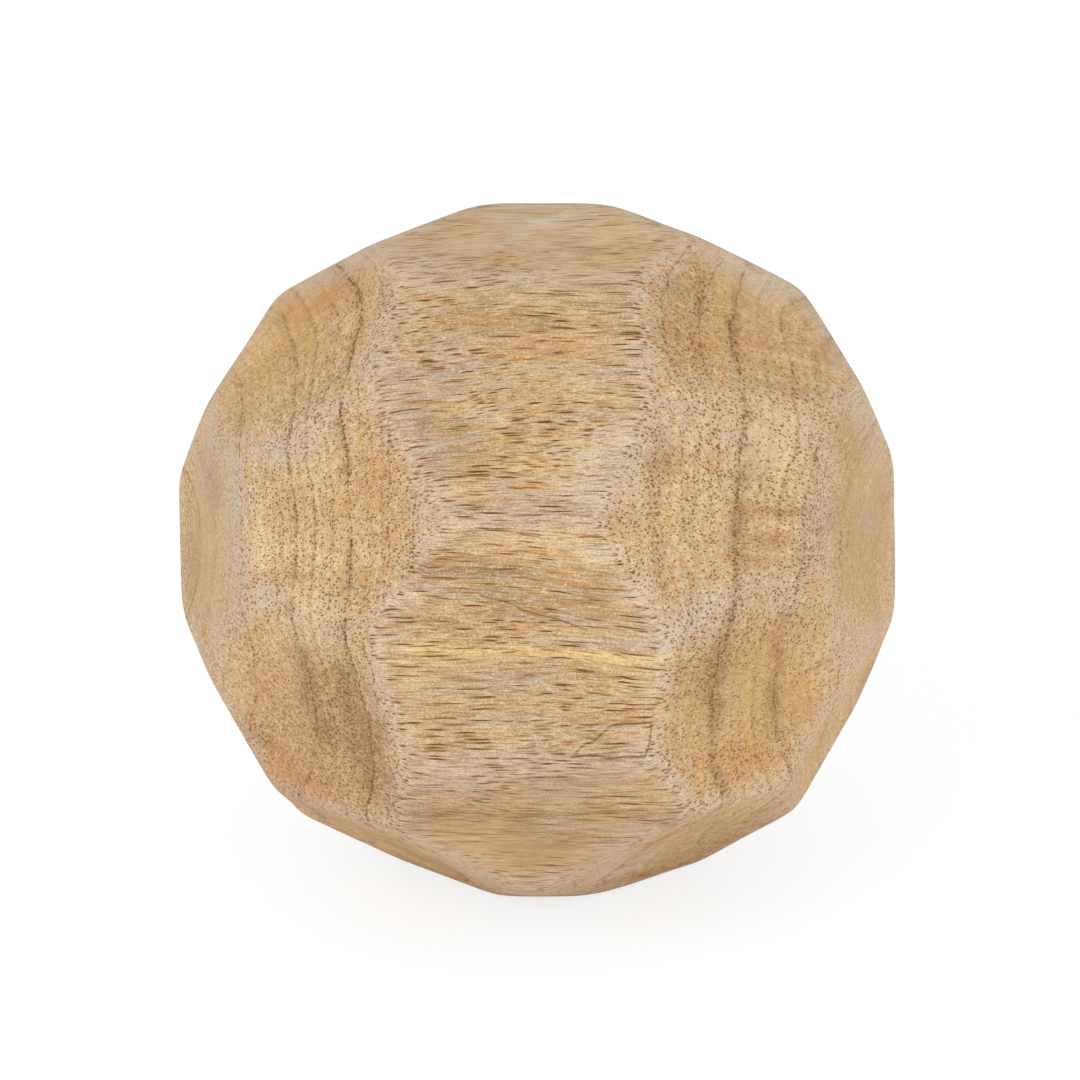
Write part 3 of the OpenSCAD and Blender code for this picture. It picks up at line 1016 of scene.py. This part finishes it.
def wood():
    """Light wood with open pores, ridges paler from wear and a painted sheen, stains, and
    painted shade on its lower edge.
    """
    material = bpy.data.materials.new("worn_open_pored_wood")
    material.use_nodes = True
    graph = Graph(material.node_tree)
    place = graph.node("ShaderNodeTexCoord", {}).outputs["Object"]
    place = graph.vector("MULTIPLY", place, (1 / MM,) * 3)

    # Wavy fibres
    drift = {1: graph.attribute("drift_depth"), 2: graph.attribute("drift_rise")}
    drift = graph.node("ShaderNodeCombineXYZ", drift).outputs[0]
    fibre = graph.vector("ADD", place, drift)
    kink = graph.noise(place, "kink", colour=True)
    here = SimpleNamespace(
        place=place,
        fibre=fibre,
        hair=graph.noise(fibre, "hair"),
        mottle=graph.node("ShaderNodeSeparateXYZ", {0: kink}).outputs[0],
        across=graph.named_fade(graph.attribute("cut_across"), "across"),
        filled=graph.attribute("filled"),
        ridge=graph.attribute("ridge"),
    )
    kink = graph.vector("SUBTRACT", kink, (0.5, 0.5, 0.5))
    kinked = graph.vector("ADD", fibre, graph.vector("MULTIPLY", kink, KINK))
    line, string, beside, fine_rings = lines_in_wood(graph, here)

    # Pores
    crowded = graph.most(beside, graph.attribute("umber"))
    crowded = graph.times(crowded, graph.share(here.across, *CROWDING_LEFT))
    rows = graph.times(graph.plus(fine_rings, -ROWS_MIDDLE), here.across)
    width = graph.attribute("pore_width")
    for amount, widening in zip((crowded, rows, here.ridge, string), PORE_WIDENING):
        width = graph.math("MULTIPLY_ADD", amount, widening, width)
    coarse, coarse_number, off_coarse = pores(graph, kinked, width, COARSE_PORES)
    fine_width = graph.times(width, FINE_PORE_WIDTH)
    fine, fine_number, _ = pores(graph, kinked, fine_width, FINE_PORES)
    unfilled = graph.share(graph.times(here.filled, here.filled), *FILLED_PORES_LEFT)
    shown = graph.times(unfilled, graph.share(here.across, *PORES_LEFT))

    # Colours
    ground = ground_colour(graph, here, beside, fine_rings)
    fine_colour = graph.ramp(fine_number, FINE_PORE_COLOURS)
    fine_amount = graph.times(graph.named_fade(fine, "fine_pore"), shown)
    ground = graph.mix(graph.times(fine_amount, FINE_PORE_MOST), ground, fine_colour)
    edge = graph.times(graph.named_fade(coarse, "pore_edge"), shown)
    ground = graph.layer(ground, edge, "pore_edge")
    coarse_colour = graph.ramp(coarse_number, COARSE_PORE_COLOURS)
    coarse_colour = graph.layer(coarse_colour, string, "pore_in_string")
    core = graph.named_fade(coarse, "pore_core")
    coarse_amount = graph.times(core, shown)
    ground = graph.mix(graph.times(coarse_amount, COARSE_PORE_MOST), ground, coarse_colour)
    ground = graph.layer(ground, line, "dark_line")

    # Relief
    relief = graph.times(here.hair, HAIR_RELIEF)
    relief = graph.plus(graph.named_fade(off_coarse, "pore_relief"), relief)
    bump = graph.node("ShaderNodeBump", {
        "Height": relief,
        "Strength": BUMP_STRENGTH,
        "Distance": BUMP_METRES,
    })
    shader = graph.node("ShaderNodeBsdfPrincipled", {
        "Base Color": ground,
        "Roughness": graph.share(core, ROUGHNESS, PORE_ROUGHNESS),
        "Normal": bump.outputs["Normal"],
        "Specular IOR Level": SPECULAR,
    })
    graph.node("ShaderNodeOutputMaterial", {"Surface": shader.outputs[0]})
    return material


def camera_sees(graph, otherwise, seen):
    """One shader for the camera's own rays and another for all other light."""
    camera_ray = graph.node("ShaderNodeLightPath", {}).outputs["Is Camera Ray"]
    sockets = {0: camera_ray, 1: otherwise.outputs[0], 2: seen.outputs[0]}
    return graph.node("ShaderNodeMixShader", sockets).outputs[0]


def pale_floor():
    """A floor that the camera sees as white with a faint shadow."""
    material = bpy.data.materials.new("pale_floor")
    material.use_nodes = True
    graph = Graph(material.node_tree)
    around, seen = [
        graph.node("ShaderNodeAddShader", {
            0: graph.node("ShaderNodeBsdfDiffuse", {"Color": colour}).outputs[0],
            1: graph.node("ShaderNodeEmission", {"Color": glow, "Strength": power}).outputs[0],
        })
        for colour, glow, power in (FLOOR_AROUND, FLOOR_SEEN)
    ]
    chosen = camera_sees(graph, around, seen)
    graph.node("ShaderNodeOutputMaterial", {"Surface": chosen})
    return material


# Stage, lights and camera
def make_floor():
    half = FLOOR_HALF_METRES
    mesh = bpy.data.meshes.new("floor")
    corners = [(-half, -half, 0), (half, -half, 0), (half, half, 0), (-half, half, 0)]
    mesh.from_pydata(corners, [], [(0, 1, 2, 3)])
    mesh.materials.append(pale_floor())
    floor = bpy.data.objects.new("floor", mesh)
    bpy.context.scene.collection.objects.link(floor)


def aim(thing, target):
    thing.rotation_euler = (Vector(target) - thing.location).to_track_quat("-Z", "Y").to_euler()


def make_light(name, place, power):
    data = bpy.data.lights.new(name, "AREA")
    data.shape = "SQUARE"
    data.size = LIGHT_SIDE_METRES
    data.energy = power
    light = bpy.data.objects.new(name, data)
    light.location = place
    aim(light, CENTRE * MM)
    bpy.context.scene.collection.objects.link(light)


def make_world():
    world = bpy.data.worlds.new("studio")
    bpy.context.scene.world = world
    world.use_nodes = True
    graph = Graph(world.node_tree)
    around, backdrop = [
        graph.node("ShaderNodeBackground", {"Color": WHITE, "Strength": power})
        for power in (STUDIO_POWER, BACKDROP_POWER)
    ]
    chosen = camera_sees(graph, around, backdrop)
    graph.node("ShaderNodeOutputWorld", {"Surface": chosen})


def make_camera():
    data = bpy.data.cameras.new("camera")
    data.sensor_width = SENSOR
    data.lens = SENSOR * FOCAL_PIXELS / FRAME_PIXELS
    data.clip_start, data.clip_end = CLIP_METRES
    camera = bpy.data.objects.new("camera", data)
    lean = math.radians(CAMERA_ELEVATION)
    back = Vector((0.0, -math.cos(lean), math.sin(lean)))
    up = Vector((0.0, math.sin(lean), math.cos(lean)))
    target = Vector(CENTRE) + up * AIM_UP + Vector((AIM_RIGHT, 0.0, 0.0))
    camera.location = (target + back * CAMERA_DISTANCE) * MM
    aim(camera, target * MM)
    bpy.context.scene.collection.objects.link(camera)
    bpy.context.scene.camera = camera


make_camera()
ball = make_ball(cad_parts["ball"])
ball.data.materials.append(wood())
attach(ball, "root")
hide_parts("ball")
make_floor()
make_world()
for light_name, light_place, light_power in LIGHTS:
    make_light(light_name, light_place, light_power)
bpy.context.scene.view_settings.view_transform = "Standard"
